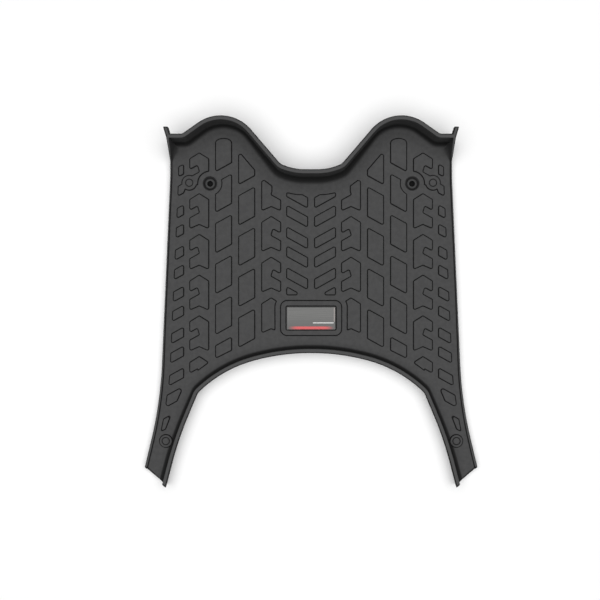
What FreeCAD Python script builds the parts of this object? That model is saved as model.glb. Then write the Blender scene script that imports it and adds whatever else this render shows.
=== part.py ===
"""Scooter floor mat: one rubber moulding with raised tread, and the badge plate bonded into it.

Millimetres. X points to the rider's right, Y to the front of the scooter, Z up. The mat lies on its
flat underside, with the middle of its outline's box at the origin. The right half is modelled and
mirrored. Plan sizes named ..._from_front run backwards from the foremost point of the front wall, and
those named ..._from_rear run forwards from the leg tips.
"""
import FreeCAD, Part
import math
import os
import Sketcher
from FreeCAD import Vector

SIZES = {
    # Overall
    "overall_length": 403.2,
    "overall_width": 367.2,
    "floor_thickness": 5.0,
    # Front wall: a recess in the middle, a round crest and a flat shoulder on each side
    "front_wall_height": 36.0,
    "front_wall_thickness": 4.6,
    "front_foot_radius": 6.0,
    "rim_chamfer": 0.8,
    "crest_x": 97.0,
    "crest_radius": 42.6,
    "crest_inner_slope": 49.4,
    "crest_outer_slope": 35.3,
    "recess_depth": 57.8,
    "recess_radius": 40.0,
    "shoulder_drop": 19.6,
    "shoulder_radius": 6.0,
    # Ears that reach forward round the edge of the leg shield, and the gussets behind them
    "ear_length": 7.0,
    "ear_height": 8.0,
    "ear_thickness": 4.6,
    "ear_splay": 13.0,
    "gusset_length": 27.0,
    "gusset_thickness": 3.0,
    # Sides and legs
    "waist_half_width": 155.4,
    "waist_from_front": 63.2,
    "waist_radius": 300.0,
    "flare_half_width": 166.4,
    "flare_from_rear": 92.5,
    "flare_radius": 450.0,
    "leg_corner_from_rear": 20.8,
    "leg_tip_x": 160.5,
    "side_lip_height": 7.6,
    "side_lip_thickness": 2.2,
    # Rear arch and the lip that runs round it to the leg tips
    "leg_length": 147.0,
    "arch_crown_x": 30.0,
    "arch_crown_radius": 230.0,
    "arch_haunch_x": 94.2,
    "arch_haunch_drop": 16.3,
    "arch_haunch_radius": 140.0,
    "leg_root_x": 124.2,
    "leg_root_drop": 43.3,
    "leg_root_radius": 12.0,
    "leg_inner_x": 147.0,
    "leg_inner_radius": 400.0,
    "rear_lip_height": 17.0,
    "rear_lip_thickness": 4.5,
    "rear_foot_radius": 3.2,
    # Screw seats
    "screw_x": 111.9,
    "screw_from_front": 69.2,
    "screw_hole_diameter": 6.0,
    "screw_seat_diameter": 11.4,
    "screw_mouth_diameter": 16.0,
    "screw_seat_depth": 2.6,
    "screw_margin": 5.4,
    # Tread
    "tread_height": 1.4,
    "tread_pitch": 45.0,
    "tread_slant": 29.0,
    "tread_front_margin": 19.5,
    "tread_recess_margin": 24.0,
    "tread_rear_margin": 18.5,
    "tread_side_margin": 9.0,
    "chevron_x": 3.8,
    "chevron_width": 23.2,
    "chevron_depth": 11.5,
    "chevron_step": 21.2,
    "chevron_from_front": 84.4,
    "inner_bar_x": 62.3,
    "outer_bar_x": 87.8,
    "bar_width": 17.8,
    "bar_depth": 32.5,
    "inner_bar_from_front": 49.3,
    "outer_bar_from_front": 35.0,
    "inner_hook_x": 33.6,
    "outer_hook_x": 113.1,
    "hook_width": 21.0,
    "inner_hook_from_front": 80.3,
    "outer_hook_from_front": 55.1,
    "hook_apex": 19.6,
    "hook_shoulder": 13.0,
    "hook_heel": 19.1,
    "hook_valley": 14.5,
    "hook_mouth_top": 1.2,
    "hook_mouth_width": 8.6,
    "hook_notch_depth": 10.8,
    "hook_notch_end": 2.2,
    "edge_bar_x": 140.8,
    "edge_bar_width": 34.0,
    "edge_bar_depth": 10.8,
    "edge_bar_from_front": 53.4,
    "edge_bar_step": 21.0,
    # Round marks
    "front_mark_x": 134.6,
    "front_mark_from_front": 68.6,
    "front_mark_radius": 8.2,
    "leg_mark_x": 160.5,
    "leg_mark_from_rear": 49.3,
    "leg_mark_radius": 7.2,
    "mark_ring_radius": 4.0,
    "mark_ring_width": 1.0,
    "mark_ring_depth": 0.7,
    # Badge seat and plate
    "badge_from_arch": 38.2,
    "badge_frame_width": 67.6,
    "badge_frame_length": 38.7,
    "badge_frame_radius": 7.4,
    "badge_frame_height": 1.8,
    "badge_margin": 6.2,
    "badge_flank_width": 6.0,
    "badge_flank_length": 20.0,
    "badge_recess_width": 55.8,
    "badge_recess_length": 26.9,
    "badge_recess_radius": 1.8,
    "badge_recess_depth": 1.4,
    "badge_clearance": 0.15,
    "badge_plate_thickness": 1.5,
    "badge_edge_chamfer": 0.35,
}

doc = FreeCAD.newDocument("floor_mat")
sheet = doc.addObject("Spreadsheet::Sheet", "sizes")
for row, (alias, number) in enumerate(SIZES.items(), start=1):
    sheet.set(f"A{row}", alias)
    sheet.set(f"B{row}", str(number))
    sheet.setAlias(f"B{row}", alias)
doc.recompute()

# Plan positions shared by several sketches, as formulas of the sheet
FRONT_Y = "sizes.overall_length / 2"
REAR_Y = "-sizes.overall_length / 2"
HALF_WIDTH = "sizes.overall_width / 2"
RECESS_Y = f"{FRONT_Y} - sizes.recess_depth"
SHOULDER_Y = f"{FRONT_Y} - sizes.shoulder_drop"
ARCH_Y = f"{REAR_Y} + sizes.leg_length"
LEG_ROOT_Y = f"{ARCH_Y} - sizes.leg_root_drop"
LEG_INNER_Y = f"({LEG_ROOT_Y} + {REAR_Y}) / 2"
FLARE_Y = f"{REAR_Y} + sizes.flare_from_rear"
LEG_CORNER_Y = f"{REAR_Y} + sizes.leg_corner_from_rear"
SCREW_Y = f"{FRONT_Y} - sizes.screw_from_front"
BADGE_Y = f"{ARCH_Y} + sizes.badge_from_arch"
SLANT = "tan(sizes.tread_slant)"

# How far back from the front the tread columns run: to the arch, or down the legs to their round mark
ARCH_REACH = "(sizes.overall_length - sizes.leg_length)"
LEG_REACH = ("(sizes.overall_length - sizes.leg_mark_from_rear - sizes.leg_mark_radius"
             " - sizes.edge_bar_depth)")

# Where the two straight flanks of a crest would meet above its round
CREST_REACH = "sizes.crest_radius / cos((sizes.crest_inner_slope + sizes.crest_outer_slope) / 2)"
CREST_LEAN = "(sizes.crest_outer_slope - sizes.crest_inner_slope) / 2"
APEX_X = f"sizes.crest_x + {CREST_REACH} * sin({CREST_LEAN})"
APEX_Y = f"{FRONT_Y} - sizes.crest_radius + {CREST_REACH} * cos({CREST_LEAN})"
RECESS_X = f"{APEX_X} - ({APEX_Y} - ({RECESS_Y})) / tan(sizes.crest_inner_slope)"
SHOULDER_X = f"{APEX_X} + ({APEX_Y} - ({SHOULDER_Y})) / tan(sizes.crest_outer_slope)"

SHARP = None
FLOOR_TOP = "sizes.floor_thickness"
FLOOR_OUTLINE = [
    ("0", ARCH_Y, SHARP),
    ("sizes.arch_crown_x", ARCH_Y, "sizes.arch_crown_radius"),
    ("sizes.arch_haunch_x", f"{ARCH_Y} - sizes.arch_haunch_drop", "sizes.arch_haunch_radius"),
    ("sizes.leg_root_x", LEG_ROOT_Y, "sizes.leg_root_radius"),
    ("sizes.leg_inner_x", LEG_INNER_Y, "sizes.leg_inner_radius"),
    ("sizes.leg_tip_x", REAR_Y, SHARP),
    (HALF_WIDTH, LEG_CORNER_Y, SHARP),
    ("sizes.flare_half_width", FLARE_Y, "sizes.flare_radius"),
    ("sizes.waist_half_width", f"{FRONT_Y} - sizes.waist_from_front", "sizes.waist_radius"),
    ("sizes.waist_half_width", SHOULDER_Y, SHARP),
    (SHOULDER_X, SHOULDER_Y, "sizes.shoulder_radius"),
    (APEX_X, APEX_Y, "sizes.crest_radius"),
    (RECESS_X, RECESS_Y, "sizes.recess_radius"),
    ("0", RECESS_Y, SHARP),
]
# Corners of that outline between which each wall runs
REAR_LIP_RUN = (0, 5)
SIDE_LIP_RUN = (6, 9)
FRONT_WALL_RUN = (9, 13)
RECESS_RUN = (11, 13)


def origin_plane(body, role):
    """The body's own origin plane of that role."""
    return next(item for item in body.Origin.OriginFeatures if item.Role == role)


def new_sketch(body, name, height="0", role="XY_Plane"):
    """An empty sketch on an origin plane, lifted along the plane's normal by a formula."""
    sketch = body.newObject("Sketcher::SketchObject", name)
    sketch.AttachmentSupport = [(origin_plane(body, role), "")]
    sketch.MapMode = "FlatFace"
    sketch.setExpression("AttachmentOffset.Base.z", height)
    doc.recompute()
    return sketch


def at_point(sketch, geometry, position, x, y):
    """Constraints, each with its formula, that tie a point to two coordinates.

    A coordinate whose formula is 0 puts the point on that axis instead.
    """
    ties = []
    for formula, kind, axis in ((x, "DistanceX", -2), (y, "DistanceY", -1)):
        if formula == "0":
            ties.append((Sketcher.Constraint("PointOnObject", geometry, position, axis), None))
        else:
            value = sketch.evalExpression(formula)
            ties.append((Sketcher.Constraint(kind, -1, 1, geometry, position, value), formula))
    return ties


def add_ties(sketch, ties):
    """Add constraints together and tie the values of those that have a formula to the sheet."""
    numbers = sketch.addConstraint([constraint for constraint, formula in ties])
    for number, (constraint, formula) in zip(numbers, ties):
        if formula:
            sketch.setExpression(f"Constraints[{number}]", formula)


def draw_loop(sketch, corners):
    """Draw a closed loop of straight sides whose corners are sharp or rounded.

    Each corner is (x, y, radius) in formulas. A rounded corner keeps its virtual point, which lies on
    both sides and carries the position. Returns, for each corner, the edges that follow it: its round,
    if it has one, and the side to the next corner.
    """
    count = len(corners)
    points = [Vector(sketch.evalExpression(x), sketch.evalExpression(y), 0) for x, y, radius in corners]
    arrive, leave, rounds = [], [], []
    for i, (x, y, radius) in enumerate(corners):
        here = points[i]
        back = (points[i - 1] - here).normalize()
        ahead = (points[(i + 1) % count] - here).normalize()
        if radius is SHARP:
            arrive.append(here)
            leave.append(here)
            rounds.append(None)
            continue
        half_angle = back.getAngle(ahead) / 2
        size = sketch.evalExpression(radius)
        setback = size / math.tan(half_angle)
        arrive.append(here + back * setback)
        leave.append(here + ahead * setback)
        centre = here + (back + ahead).normalize() * (size / math.sin(half_angle))
        turns_left = back.cross(ahead).z < 0
        first, last = (arrive[i], leave[i]) if turns_left else (leave[i], arrive[i])
        start = math.atan2(first.y - centre.y, first.x - centre.x)
        end = math.atan2(last.y - centre.y, last.x - centre.x)
        circle = Part.Circle(centre, Vector(0, 0, 1), size)
        rounds.append((Part.ArcOfCircle(circle, start, end), turns_left))

    followers, arcs, sides = [], [], []
    for i in range(count):
        arc = sketch.addGeometry(rounds[i][0]) if rounds[i] else None
        side = sketch.addGeometry(Part.LineSegment(leave[i], arrive[(i + 1) % count]))
        arcs.append(arc)
        sides.append(side)
        followers.append([edge for edge in (arc, side) if edge is not None])

    ties = []
    for i, (x, y, radius) in enumerate(corners):
        if radius is SHARP:
            ties.append((Sketcher.Constraint("Coincident", sides[i - 1], 2, sides[i], 1), None))
            ties += at_point(sketch, sides[i], 1, x, y)
            continue
        first_end, last_end = (1, 2) if rounds[i][1] else (2, 1)
        size = sketch.evalExpression(radius)
        corner = sketch.addGeometry(Part.Point(points[i]), True)
        ties += [
            (Sketcher.Constraint("Tangent", sides[i - 1], 2, arcs[i], first_end), None),
            (Sketcher.Constraint("Tangent", arcs[i], last_end, sides[i], 1), None),
            (Sketcher.Constraint("Radius", arcs[i], size), radius),
            (Sketcher.Constraint("PointOnObject", corner, 1, sides[i - 1]), None),
            (Sketcher.Constraint("PointOnObject", corner, 1, sides[i]), None),
        ]
        ties += at_point(sketch, corner, 1, x, y)
    add_ties(sketch, ties)
    return followers


def draw_circle(sketch, x, y, radius):
    """Draw a circle whose centre and radius are formulas."""
    centre = Vector(sketch.evalExpression(x), sketch.evalExpression(y), 0)
    size = sketch.evalExpression(radius)
    circle = sketch.addGeometry(Part.Circle(centre, Vector(0, 0, 1), size))
    radius_tie = (Sketcher.Constraint("Radius", circle, size), radius)
    add_ties(sketch, [radius_tie] + at_point(sketch, circle, 3, x, y))


def rectangle(half_width, top, bottom, radius):
    """Corners of the right half of a rectangle about the centre line, with its outer corners rounded."""
    return [
        ("0", bottom, SHARP),
        (half_width, bottom, radius),
        (half_width, top, radius),
        ("0", top, SHARP),
    ]


def feature(body, kind, name, profile, length, upward=True, draft=None):
    """Pad or pocket a profile, by a formula, towards +Z or towards -Z."""
    solid = body.newObject(f"PartDesign::{kind}", name)
    solid.Profile = profile
    solid.setExpression("Length", length)
    solid.Reversed = upward if kind == "Pocket" else not upward
    if draft is not None:
        solid.setExpression("TaperAngle", draft)
    doc.recompute()
    return solid


def band(body, name, outline, edges, width):
    """The strip of floor between a run of the outline and a line that lies a width inside it."""
    strip = body.newObject("PartDesign::SubShapeBinder", name)
    strip.Support = [(outline, tuple(edges))]
    strip.MakeFace = True
    strip.OffsetFill = True
    strip.OffsetOpenResult = True
    strip.setExpression("Offset", f"-({width})")
    doc.recompute()
    return strip


def run_edges_at(solid, outline, edges, width, height):
    """Names of the edges at a height that lie a width inside a run of the outline."""
    run = Part.Compound([outline.Shape.getElement(edge) for edge in edges])
    run.translate(Vector(0, 0, height - outline.Shape.BoundBox.ZMin))
    tolerance = 0.01
    names = []
    for number, edge in enumerate(solid.Shape.Edges, start=1):
        box = edge.BoundBox
        if abs(box.ZMin - height) > tolerance or abs(box.ZMax - height) > tolerance:
            continue
        middle = edge.valueAt((edge.FirstParameter + edge.LastParameter) / 2)
        spots = [vertex.Point for vertex in edge.Vertexes] + [middle]
        gaps = [run.distToShape(Part.Vertex(spot))[0] for spot in spots]
        if all(abs(gap - width) < tolerance for gap in gaps):
            names.append(f"Edge{number}")
    return names


def dress_edges(body, kind, name, base, edges, size):
    """Fillet or chamfer a list of named edges of the base feature."""
    dressed = body.newObject(f"PartDesign::{kind}", name)
    dressed.Base = (base, edges)
    dressed.setExpression("Radius" if kind == "Fillet" else "Size", size)
    doc.recompute()
    return dressed


def rows(body, name, original, first, reach):
    """Repeat a tread block backwards by the pitch, from its first place to the column's reach."""
    pattern = body.newObject("PartDesign::LinearPattern", name)
    pattern.Originals = [original]
    pattern.Direction = (origin_plane(body, "XZ_Plane"), [""])
    pattern.Mode = "Spacing"
    pattern.setExpression("Offset", "sizes.tread_pitch")
    pattern.setExpression("Occurrences", f"ceil(({reach} - {first}) / sizes.tread_pitch)")
    body.Tip = pattern
    doc.recompute()


def combine(body, kind, name, tool):
    """Fuse the body with a tool body, or keep what both have in common."""
    result = body.newObject("PartDesign::Boolean", name)
    result.Type = kind
    result.setObjects([tool])
    body.Tip = result
    doc.recompute()


def slanted_block(x, width, depth, from_front, outward):
    """Corners of a parallelogram block whose ends rise outward (1) or inward (-1) at the slant."""
    middle = f"({FRONT_Y} - {from_front})"
    half_rise = f"({outward} * {width} * {SLANT} / 2)"
    return [
        (x, f"{middle} - {half_rise} - {depth} / 2", SHARP),
        (f"{x} + {width}", f"{middle} + {half_rise} - {depth} / 2", SHARP),
        (f"{x} + {width}", f"{middle} + {half_rise} + {depth} / 2", SHARP),
        (x, f"{middle} - {half_rise} + {depth} / 2", SHARP),
    ]


def hook_block(x, from_front, outward):
    """Corners of a hook block: a roof, a valley below it and a notch in its outer (1) or inner (-1) side."""
    middle = f"({FRONT_Y} - {from_front})"
    near = x if outward == 1 else f"{x} + sizes.hook_width"
    far = f"{x} + sizes.hook_width" if outward == 1 else x
    centre = f"{x} + sizes.hook_width / 2"
    notch_end = f"{far} - {outward} * sizes.hook_notch_depth"
    notch_roof = f"{far} - {outward} * (sizes.hook_notch_depth - sizes.hook_notch_end)"
    mouth_top = f"{middle} + sizes.hook_mouth_top"
    mouth_bottom = f"{mouth_top} - sizes.hook_mouth_width"
    return [
        (centre, f"{middle} + sizes.hook_apex", SHARP),
        (near, f"{middle} + sizes.hook_shoulder", SHARP),
        (near, f"{middle} - sizes.hook_heel", SHARP),
        (centre, f"{middle} - sizes.hook_valley", SHARP),
        (far, f"{middle} - sizes.hook_heel", SHARP),
        (far, mouth_bottom, SHARP),
        (notch_end, f"{mouth_bottom} + sizes.hook_notch_depth * {SLANT}", SHARP),
        (notch_roof, f"{mouth_top} + (sizes.hook_notch_depth - sizes.hook_notch_end) * {SLANT}", SHARP),
        (far, mouth_top, SHARP),
        (far, f"{middle} + sizes.hook_shoulder", SHARP),
    ]


def build_mat():
    """The rubber moulding: floor, tread, walls, screw seats, round marks and badge seat."""
    body = doc.addObject("PartDesign::Body", "mat")
    outline = new_sketch(body, "floor_outline", FLOOR_TOP)
    followers = draw_loop(outline, FLOOR_OUTLINE)
    doc.recompute()

    def run_edges(run):
        """Edge names of the outline from one corner to another, without the round of the first."""
        first, last = run
        numbers = [followers[first][-1]]
        for corner in range(first + 1, last):
            numbers += followers[corner]
        return [f"Edge{edge_order[number]}" for number in numbers]

    drawn = [number for number in range(outline.GeometryCount) if not outline.getConstruction(number)]
    edge_order = {number: order for order, number in enumerate(drawn, start=1)}
    rear_run = run_edges(REAR_LIP_RUN)
    side_run = run_edges(SIDE_LIP_RUN)
    front_run = run_edges(FRONT_WALL_RUN)
    recess_run = run_edges(RECESS_RUN)

    feature(body, "Pad", "floor", outline, "sizes.floor_thickness", upward=False)
    add_badge_seat(body)
    add_walls(body, outline, front_run, side_run, rear_run)
    cut_screw_seat(body)
    mirror(body)

    tread = doc.addObject("PartDesign::Body", "tread")
    tread.AllowCompound = True
    add_tread(tread)
    field = build_tread_field(outline, front_run, recess_run, side_run, rear_run)
    combine(tread, "Common", "trimmed_tread", field)
    add_marks(tread)
    mirror(tread)
    combine(body, "Fuse", "moulding", tread)
    return body


def mirror(body):
    """Complete a body's right half with its left half."""
    mirrored = body.newObject("PartDesign::Mirrored", f"{body.Name}_halves")
    mirrored.TransformMode = "Whole shape"
    mirrored.MirrorPlane = (origin_plane(body, "YZ_Plane"), [""])
    body.Tip = mirrored
    doc.recompute()


def add_tread(body):
    """Raise the tread columns of the right half in full rows, and close the hook beside the badge."""
    chevron = ("sizes.chevron_x", "sizes.chevron_width", "sizes.chevron_depth")
    bar = ("sizes.bar_width", "sizes.bar_depth")
    edge_bar = ("sizes.edge_bar_x", "sizes.edge_bar_width", "sizes.edge_bar_depth")
    edge_bar_first = f"(sizes.edge_bar_from_front + sizes.edge_bar_width * {SLANT} / 2)"
    columns = [
        ("chevron", slanted_block, chevron, "sizes.chevron_from_front", 1, ARCH_REACH),
        ("lower_chevron", slanted_block, chevron,
         "(sizes.chevron_from_front + sizes.chevron_step)", 1, ARCH_REACH),
        ("inner_hook", hook_block, ("sizes.inner_hook_x",), "sizes.inner_hook_from_front", -1, ARCH_REACH),
        ("inner_bar", slanted_block, ("sizes.inner_bar_x", *bar), "sizes.inner_bar_from_front", -1, ARCH_REACH),
        ("outer_bar", slanted_block, ("sizes.outer_bar_x", *bar), "sizes.outer_bar_from_front", -1, LEG_REACH),
        ("outer_hook", hook_block, ("sizes.outer_hook_x",), "sizes.outer_hook_from_front", 1, LEG_REACH),
        ("edge_bar", slanted_block, edge_bar, edge_bar_first, -1, LEG_REACH),
        ("lower_edge_bar", slanted_block, edge_bar,
         f"({edge_bar_first} + sizes.edge_bar_step)", -1, LEG_REACH),
    ]
    for name, shape, extent, first, outward, reach in columns:
        sketch = new_sketch(body, f"{name}_sketch", FLOOR_TOP)
        draw_loop(sketch, shape(*extent, first, outward))
        block = feature(body, "Pad", name, sketch, "sizes.tread_height")
        rows(body, f"{name}_rows", block, first, reach)

    flank = new_sketch(body, "badge_flank_sketch", FLOOR_TOP)
    inner_x = "sizes.badge_frame_width / 2"
    outer_x = f"{inner_x} + sizes.badge_margin + sizes.badge_flank_width"
    half_flank = "sizes.badge_flank_length / 2"
    draw_loop(flank, [
        (inner_x, f"{BADGE_Y} - {half_flank}", SHARP),
        (outer_x, f"{BADGE_Y} - {half_flank}", SHARP),
        (outer_x, f"{BADGE_Y} + {half_flank}", SHARP),
        (inner_x, f"{BADGE_Y} + {half_flank}", SHARP),
    ])
    feature(body, "Pad", "badge_flank", flank, "sizes.tread_height")


def build_tread_field(outline, front_run, recess_run, side_run, rear_run):
    """The room that tread may fill: the floor less its margins along the walls and round screw and badge."""
    body = doc.addObject("PartDesign::Body", "tread_field")
    body.AllowCompound = True
    floor = new_sketch(body, "field_outline", FLOOR_TOP)
    draw_loop(floor, FLOOR_OUTLINE)
    feature(body, "Pad", "field", floor, "sizes.tread_height")

    margins = [
        ("front", front_run, "sizes.tread_front_margin"),
        ("recess", recess_run, "sizes.tread_recess_margin"),
        ("rear", rear_run, "sizes.tread_rear_margin"),
        ("side", side_run, "sizes.tread_side_margin"),
    ]
    for name, edges, width in margins:
        strip = band(body, f"{name}_margin", outline, edges, width)
        feature(body, "Pocket", f"{name}_border", strip, "sizes.tread_height")

    clear = new_sketch(body, "clearance_sketch", FLOOR_TOP)
    draw_circle(clear, "sizes.screw_x", SCREW_Y, "sizes.screw_mouth_diameter / 2 + sizes.screw_margin")
    half_length = "(sizes.badge_frame_length / 2 + sizes.badge_margin)"
    draw_loop(clear, rectangle("sizes.badge_frame_width / 2 + sizes.badge_margin",
                               f"{BADGE_Y} + {half_length}", f"{BADGE_Y} - {half_length}",
                               "sizes.badge_frame_radius + sizes.badge_margin"))
    # The first inner hook stops at its notch, short of the recess
    hook_y = f"({FRONT_Y} - sizes.inner_hook_from_front)"
    beside_hook = "sizes.inner_hook_x - sizes.hook_notch_end"
    notch_x = "sizes.inner_hook_x + sizes.hook_notch_depth - sizes.hook_notch_end / 2"
    draw_loop(clear, [
        (beside_hook, hook_y, SHARP),
        (notch_x, hook_y, SHARP),
        (notch_x, f"{hook_y} + sizes.hook_apex", SHARP),
        (beside_hook, f"{hook_y} + sizes.hook_apex", SHARP),
    ])
    feature(body, "Pocket", "clearances", clear, "sizes.tread_height")
    return body


def add_marks(body):
    """Raise the round pads behind the front wall and on the leg, each with a ring groove."""
    marks = [
        ("sizes.front_mark_x", f"{FRONT_Y} - sizes.front_mark_from_front", "sizes.front_mark_radius"),
        ("sizes.leg_mark_x", f"{REAR_Y} + sizes.leg_mark_from_rear", "sizes.leg_mark_radius"),
    ]
    discs = new_sketch(body, "mark_sketch", FLOOR_TOP)
    rings = new_sketch(body, "mark_ring_sketch", "sizes.floor_thickness + sizes.tread_height")
    for x, y, radius in marks:
        draw_circle(discs, x, y, radius)
        draw_circle(rings, x, y, "sizes.mark_ring_radius + sizes.mark_ring_width / 2")
        draw_circle(rings, x, y, "sizes.mark_ring_radius - sizes.mark_ring_width / 2")
    feature(body, "Pad", "marks", discs, "sizes.tread_height")
    feature(body, "Pocket", "mark_rings", rings, "sizes.mark_ring_depth", upward=False)


def add_badge_seat(body):
    """Raise the badge frame and sink the recess that takes the plate."""
    half_frame = "sizes.badge_frame_length / 2"
    frame = new_sketch(body, "badge_frame_sketch", FLOOR_TOP)
    draw_loop(frame, rectangle("sizes.badge_frame_width / 2", f"{BADGE_Y} + {half_frame}",
                               f"{BADGE_Y} - {half_frame}", "sizes.badge_frame_radius"))
    feature(body, "Pad", "badge_frame", frame, "sizes.badge_frame_height")
    half_recess = "sizes.badge_recess_length / 2"
    recess = new_sketch(body, "badge_recess_sketch", "sizes.floor_thickness + sizes.badge_frame_height")
    draw_loop(recess, rectangle("sizes.badge_recess_width / 2", f"{BADGE_Y} + {half_recess}",
                                f"{BADGE_Y} - {half_recess}", "sizes.badge_recess_radius"))
    feature(body, "Pocket", "badge_recess", recess, "sizes.badge_recess_depth", upward=False)


def raise_wall(body, outline, name, edges, thickness, height):
    """Pad the strip along a run of the outline up to a height above the underside."""
    strip = band(body, f"{name}_strip", outline, edges, f"sizes.{thickness}")
    return feature(body, "Pad", name, strip, f"sizes.{height} - sizes.floor_thickness")


def finish_wall(body, outline, name, wall, edges, thickness, height, foot):
    """Chamfer a wall's outer top edge, and round its foot towards the floor."""
    rim = run_edges_at(wall, outline, edges, 0, getattr(sheet, height))
    eased = dress_edges(body, "Chamfer", f"{name}_rim", wall, rim, "sizes.rim_chamfer")
    inside = getattr(sheet, thickness)
    feet = run_edges_at(eased, outline, edges, inside, sheet.floor_thickness)
    dress_edges(body, "Fillet", f"{name}_foot", eased, feet, f"sizes.{foot}")


def add_walls(body, outline, front_run, side_run, rear_run):
    """Raise the rear lip, the front wall and the side lip, and close each front corner."""
    raise_wall(body, outline, "rear_lip", rear_run, "rear_lip_thickness", "rear_lip_height")
    lip = cut_leg_end(body)
    finish_wall(body, outline, "rear_lip", lip, rear_run,
                "rear_lip_thickness", "rear_lip_height", "rear_foot_radius")
    wall = raise_wall(body, outline, "front_wall", front_run, "front_wall_thickness", "front_wall_height")
    finish_wall(body, outline, "front_wall", wall, front_run,
                "front_wall_thickness", "front_wall_height", "front_foot_radius")
    raise_wall(body, outline, "side_lip", side_run, "side_lip_thickness", "side_lip_height")

    corner_y = f"({SHOULDER_Y} - sizes.front_wall_thickness)"
    gusset = new_sketch(body, "gusset_sketch", "sizes.waist_half_width", "YZ_Plane")
    draw_loop(gusset, [
        (f"{SHOULDER_Y} - sizes.gusset_length", FLOOR_TOP, SHARP),
        (SHOULDER_Y, FLOOR_TOP, SHARP),
        (SHOULDER_Y, "sizes.front_wall_height", SHARP),
        (corner_y, "sizes.front_wall_height", SHARP),
    ])
    feature(body, "Pad", "gusset", gusset, "sizes.gusset_thickness", upward=False)

    reach = "(sizes.ear_length + sizes.front_wall_thickness)"
    splay = f"{reach} * tan(sizes.ear_splay)"
    width = "sizes.ear_thickness / cos(sizes.ear_splay)"
    ear_y = f"{SHOULDER_Y} + sizes.ear_length"
    ear = new_sketch(body, "ear_sketch", "sizes.front_wall_height")
    draw_loop(ear, [
        (f"sizes.waist_half_width - {width}", corner_y, SHARP),
        ("sizes.waist_half_width", corner_y, SHARP),
        (f"sizes.waist_half_width + {splay}", ear_y, SHARP),
        (f"sizes.waist_half_width + {splay} - {width}", ear_y, SHARP),
    ])
    feature(body, "Pad", "ear", ear, "sizes.ear_height", upward=False)


def cut_leg_end(body):
    """Trim the square end of the rear lip to the slanting end of the leg."""
    beyond = "sizes.rear_lip_height"
    end = new_sketch(body, "leg_end_sketch", FLOOR_TOP)
    draw_loop(end, [
        ("sizes.leg_tip_x", REAR_Y, SHARP),
        (f"sizes.leg_tip_x + {beyond}", f"{REAR_Y} - {beyond}", SHARP),
        (f"{HALF_WIDTH} + {beyond}", f"{LEG_CORNER_Y} - {beyond}", SHARP),
        (HALF_WIDTH, LEG_CORNER_Y, SHARP),
    ])
    return feature(body, "Pocket", "leg_end", end, "sizes.rear_lip_height")


def cut_screw_seat(body):
    """Sink the conical screw seat and bore the screw hole through the floor."""
    mouth = new_sketch(body, "screw_mouth_sketch", FLOOR_TOP)
    draw_circle(mouth, "sizes.screw_x", SCREW_Y, "sizes.screw_mouth_diameter / 2")
    narrowing = "(sizes.screw_mouth_diameter - sizes.screw_seat_diameter) / 2"
    feature(body, "Pocket", "screw_seat", mouth, "sizes.screw_seat_depth", upward=False,
            draft=f"-atan({narrowing} / sizes.screw_seat_depth)")
    hole = new_sketch(body, "screw_hole_sketch", FLOOR_TOP)
    draw_circle(hole, "sizes.screw_x", SCREW_Y, "sizes.screw_hole_diameter / 2")
    feature(body, "Pocket", "screw_hole", hole, "sizes.floor_thickness", upward=False)


def build_badge_plate():
    """The plate that fills the badge recess but for its clearance, with a chamfered top edge."""
    body = doc.addObject("PartDesign::Body", "badge_plate")
    half_width = "(sizes.badge_recess_width / 2 - sizes.badge_clearance)"
    half_length = "(sizes.badge_recess_length / 2 - sizes.badge_clearance)"
    radius = "sizes.badge_recess_radius - sizes.badge_clearance"
    seat = "sizes.floor_thickness + sizes.badge_frame_height - sizes.badge_recess_depth"
    sketch = new_sketch(body, "plate_sketch", seat)
    draw_loop(sketch, [
        (f"-{half_width}", f"{BADGE_Y} - {half_length}", radius),
        (half_width, f"{BADGE_Y} - {half_length}", radius),
        (half_width, f"{BADGE_Y} + {half_length}", radius),
        (f"-{half_width}", f"{BADGE_Y} + {half_length}", radius),
    ])
    plate = feature(body, "Pad", "plate", sketch, "sizes.badge_plate_thickness")
    top = plate.Shape.BoundBox.ZMax
    edges = [f"Edge{number}" for number, edge in enumerate(plate.Shape.Edges, start=1)
             if edge.BoundBox.ZMin > top - 0.001]
    dress_edges(body, "Chamfer", "plate_edge", plate, edges, "sizes.badge_edge_chamfer")
    return body


parts = [build_mat(), build_badge_plate()]
doc.recompute()

for item in doc.Objects:
    if "Invalid" in item.State or "Error" in item.State:
        raise RuntimeError(f"{item.Name} failed: {item.State}")
for part in parts:
    if part.Shape.isNull() or not part.Shape.isValid() or len(part.Shape.Solids) != 1:
        raise RuntimeError(f"{part.Label} is not one valid solid")

os.makedirs("parts", exist_ok=True)
for part in parts:
    part.Shape.exportStep(f"parts/{part.Label}.step")
    box = part.Shape.optimalBoundingBox(True, False)
    print(part.Label, f"{box.XLength:.1f} x {box.YLength:.1f} x {box.ZLength:.1f} mm,",
          f"{part.Shape.Volume / 1000:.1f} cm3")
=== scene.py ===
# %% [markdown]
# # A scooter floor mat, dressed for its portrait
#
# The mat is one rubber moulding: a flat floor with a raised tread, a tall wall that follows the front of
# the footwell, a low lip along each side and a thicker lip round the rear arch. A small printed plate sits
# in a frame near the arch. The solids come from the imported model, and this lesson makes the fine surfaces
# that stand for them: every edge gets its moulded radius, and every material its grain.

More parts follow.
